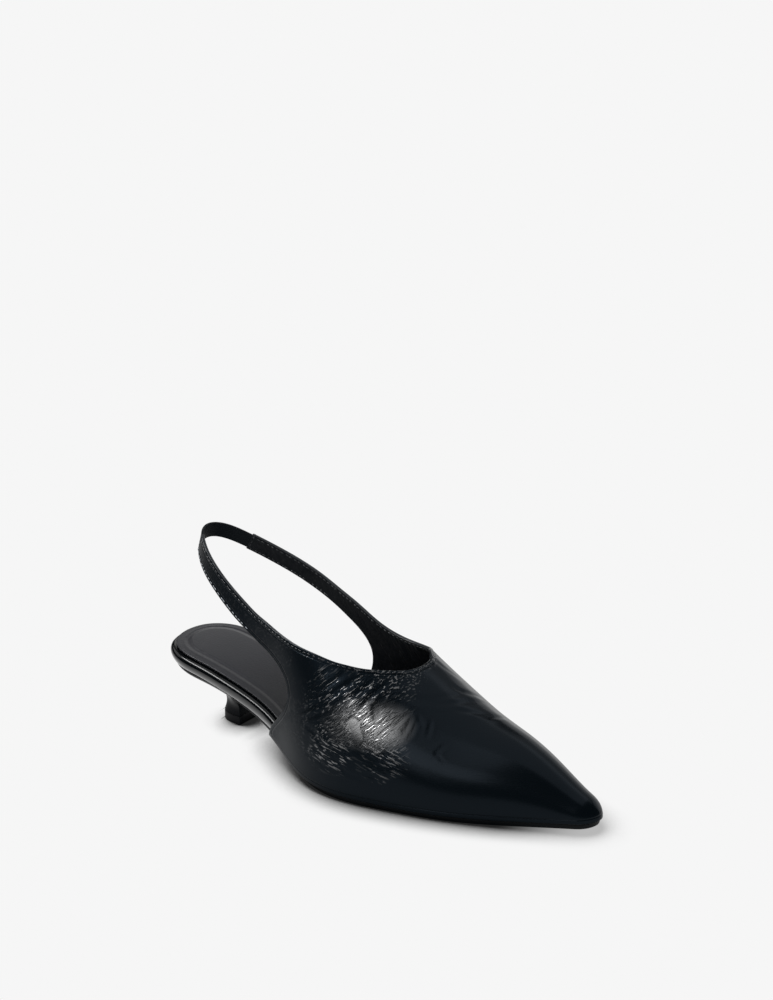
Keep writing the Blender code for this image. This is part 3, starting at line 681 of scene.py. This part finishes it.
insole = copy_of_solid("insole", "insole_sock")
insole.data.materials.append(sock)
subdivide_round(insole)
walls = {
    number
    for face in insole.data.polygons
    if abs(face.normal.z) < WALL_SLOPE
    for number in face.vertices
}
wall_tree = tree_of([insole.data.vertices[number].co for number in walls])
border_mm = [wall_tree.find(vertex.co)[2] / MM for vertex in insole.data.vertices]
insole.data.attributes.new("border_mm", "FLOAT", "POINT").data.foreach_set("value", border_mm)
soften_borders(INSOLE_ROUND)
bpy.ops.object.shade_smooth()
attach(insole, "root")
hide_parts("insole")

# Outsole
# A thin sole of black resin rubber, cemented under the footbed and trimmed flush round the toe.
SOLE_GRIT = 0.9 * MM  # the moulded grit is finer, too fine to show
SOLE_ROUND = 0.3 * MM

# Resin rubber: moulded with a fine grit, so it is matt and shows no highlights.
rubber, rubber_shader, rubber_place = new_look(
    "black_resin_rubber",
    {"Base Color": linear("#06090c"), "Roughness": 0.5, "IOR": 1.5, "Specular IOR Level": 0.1},
)
grit = add_node(rubber, "TexNoise", {"Scale": 1 / SOLE_GRIT, "Detail": 3.0}, {"Vector": rubber_place})
grit_relief = add_node(rubber, "Bump", {"Strength": 0.5, "Distance": 0.1 * MM}, {"Height": grit})
rubber.node_tree.links.new(grit_relief.outputs[0], rubber_shader.inputs["Normal"])

outsole = copy_of_solid("outsole", "rubber_outsole")
outsole.data.materials.append(rubber)
subdivide_round(outsole)
soften_borders(SOLE_ROUND)
bpy.ops.object.shade_smooth()
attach(outsole, "root")
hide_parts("outsole")

# Heel
# A low moulded heel covered with the upper's calf, the cover's edges tucked in at the breast.
COVER_PULL = 4 * MM

# Heel cover: calf glued tight round a hard core, deep black with a faint, slightly uneven shine.
cover, cover_shader, cover_place = new_look(
    "calf_heel_cover",
    {
        "Base Color": linear("#020508"),
        "Roughness": 0.3,
        "IOR": 1.5,
        "Specular IOR Level": 0.03,
        "Coat Weight": 0.06,
        "Coat IOR": 1.3,
        "Coat Roughness": 0.1,
    },
)
pulls = add_node(cover, "TexNoise", {"Scale": 1 / COVER_PULL, "Detail": 2.0}, {"Vector": cover_place})
pull_relief = add_node(cover, "Bump", {"Strength": 0.4, "Distance": 0.12 * MM}, {"Height": pulls})
cover.node_tree.links.new(pull_relief.outputs[0], cover_shader.inputs["Normal"])

heel = copy_of_solid("heel", "covered_heel")
heel.data.materials.append(cover)
subdivide_round(heel)
bpy.ops.object.shade_smooth_by_angle(angle=PANEL_ANGLE)
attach(heel, "root")
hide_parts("heel")

# Top piece
# The hard rubber lift that the heel treads on, pinned up into the heel and trimmed to its outline.
LIFT_ROUND = 0.4 * MM
top_piece = copy_of_solid("top_piece", "heel_top_piece")
top_piece.data.materials.append(rubber)
subdivide_round(top_piece)
soften_borders(LIFT_ROUND)
bpy.ops.object.shade_smooth()
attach(top_piece, "root")
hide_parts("top_piece")

# Floor
# A seamless pale studio floor that glows evenly with its own light, with a shadow painted into its glow
# where the sole comes near it. Only the part round the shoe shows in the leather's gloss, as in a dark
# studio.
NEAR_FLOOR = 0.5
FAR_FLOOR = 14.0
FLOOR_SIDES = 96
STUDIO_WHITE = linear("#f6f6f6")
SHADE_REACH = 0.021
SHADE_SPAN = {"From Min": 0.9, "From Max": 0.52}  # how open the floor is where shade begins and is full
DARKEST = 0.98
SHADE_TILT = {"X": -0.38, "Y": -0.12, "Z": 0.92}  # the painted shade is tilted away from the heel end, which keeps the floor there clear
TOE_TO_GROUND = {"From Min": 0.125, "From Max": 0.085}
TOE_SHADE = 0.5  # the painted shade is weaker under the sprung toe

# Studio paper: matt and white. Its light is its own, even away from the shoe, with a shadow painted in near
# it.
paper, paper_shader, paper_place = new_look(
    "glowing_studio_paper",
    {"Base Color": (0, 0, 0, 1), "Roughness": 1.0, "Specular IOR Level": 0.0, "Emission Strength": 1.0},
)
# Painted shadow: the floor's glow is darkened by how closed in it is near the shoe.
shade_normal = add_node(paper, "CombineXYZ", SHADE_TILT, {})
openness = add_node(
    paper, "AmbientOcclusion", {"samples": 16, "Distance": SHADE_REACH}, {"Normal": shade_normal}
).outputs["AO"]
dark = add_node(paper, "MapRange", {**SHADE_SPAN, "To Max": DARKEST}, {"Value": openness})
floor_along = add_node(paper, "SeparateXYZ", {}, {"Vector": paper_place}).outputs["X"]
under_toe = add_node(
    paper, "MapRange", {**SOFT_STEP, **TOE_TO_GROUND, "To Min": TOE_SHADE}, {"Value": floor_along}
)
shade = add_node(paper, "Math", PRODUCT, {0: dark, 1: under_toe})
tone = add_node(paper, "MapRange", {"To Min": STUDIO_WHITE[0], "To Max": 0.0}, {"Value": shade})
paper.node_tree.links.new(tone.outputs[0], paper_shader.inputs["Emission Color"])

bpy.ops.object.select_all(action="DESELECT")
bpy.ops.mesh.primitive_circle_add(vertices=FLOOR_SIDES, radius=NEAR_FLOOR, fill_type="NGON")
near_floor = bpy.context.object
near_floor.name = "near_floor"
near_floor.data.materials.append(paper)
bpy.ops.mesh.primitive_circle_add(vertices=FLOOR_SIDES, radius=NEAR_FLOOR, fill_type="NOTHING")
far_floor = bpy.context.object
far_floor.name = "far_floor"
bpy.ops.object.mode_set(mode="EDIT")
bpy.ops.mesh.select_all(action="SELECT")
bpy.ops.mesh.extrude_edges_move()
bpy.ops.transform.resize(value=(FAR_FLOOR / NEAR_FLOOR, FAR_FLOOR / NEAR_FLOOR, 1))
bpy.ops.mesh.select_all(action="SELECT")
bpy.ops.mesh.normals_make_consistent(inside=False)
bpy.ops.object.mode_set(mode="OBJECT")
far_floor.data.materials.append(paper)
far_floor.visible_glossy = False

# Light
# Even white light from all round reaches the matt surfaces. Softboxes show only in the gloss: two small ones
# and a bank near the camera for the vamp's sheen, a bright strip behind the heel for the white lines along
# the rim, and large pale panels at the back, above and at the heel end.
world = bpy.data.worlds.new("studio")
bpy.context.scene.world = world
world.use_nodes = True
world.node_tree.nodes["Background"].inputs["Color"].default_value = STUDIO_WHITE
world.node_tree.nodes["Background"].inputs["Strength"].default_value = 1.0
world.cycles_visibility.glossy = False

LIGHT_AIM = Vector((0.02, -0.01, 0.04))
Softbox = namedtuple("Softbox", "name turn rise distance width height radiance")
SOFTBOXES = (
    Softbox("sheen", -80, 27, 0.95, 0.30, 0.30, 3.2),
    Softbox("low_sheen", -87, 16, 0.95, 0.20, 0.20, 2.2),
    Softbox("bank", -95, 56, 1.1, 0.8, 0.66, 1.8),
    Softbox("rim", -143, 48, 1.00, 0.9, 0.2, 26.0),
    Softbox("back", 96, 14, 1.3, 2.6, 1.05, 1.6),
    Softbox("fill", 68, 48, 1.25, 0.9, 0.6, 0.9),
    Softbox("ceiling", 100, 82, 1.2, 1.6, 1.3, 1.2),
    Softbox("heel_end", 180, 28, 1.2, 0.8, 0.5, 1.5),
)
for box in SOFTBOXES:
    lamp = bpy.data.lights.new(box.name, "AREA")
    lamp.shape = "RECTANGLE"
    lamp.size = box.width
    lamp.size_y = box.height
    lamp.energy = box.radiance * math.pi * box.width * box.height
    light = bpy.data.objects.new(box.name, lamp)
    bpy.context.scene.collection.objects.link(light)
    turn = math.radians(box.turn)
    rise = math.radians(box.rise)
    towards = Vector((math.cos(turn) * math.cos(rise), math.sin(turn) * math.cos(rise), math.sin(rise)))
    light.location = LIGHT_AIM + towards * box.distance
    light.rotation_euler = towards.to_track_quat("Z", "Y").to_euler()
    light.visible_diffuse = False
    light.visible_camera = False

# Camera
# It stands in front of the shoe on its lateral side, a little above it, with the shoe low in a tall frame.
CAMERA_TURN = math.radians(36.818)
CAMERA_TILT = math.radians(21.120)
CAMERA_DISTANCE = 1.4
CAMERA_AIM = Vector((-0.01906, 0.03612, 0.12851))
LENS_MM = 100.59
camera_data = bpy.data.cameras.new("camera")
camera_data.lens = LENS_MM
camera = bpy.data.objects.new("camera", camera_data)
bpy.context.scene.collection.objects.link(camera)
backwards = Vector(
    (
        math.sin(CAMERA_TURN) * math.cos(CAMERA_TILT),
        -math.cos(CAMERA_TURN) * math.cos(CAMERA_TILT),
        math.sin(CAMERA_TILT),
    )
)
camera.location = CAMERA_AIM + backwards * CAMERA_DISTANCE
camera.rotation_euler = backwards.to_track_quat("Z", "Y").to_euler()
bpy.context.scene.camera = camera
bpy.context.scene.view_settings.view_transform = "Standard"
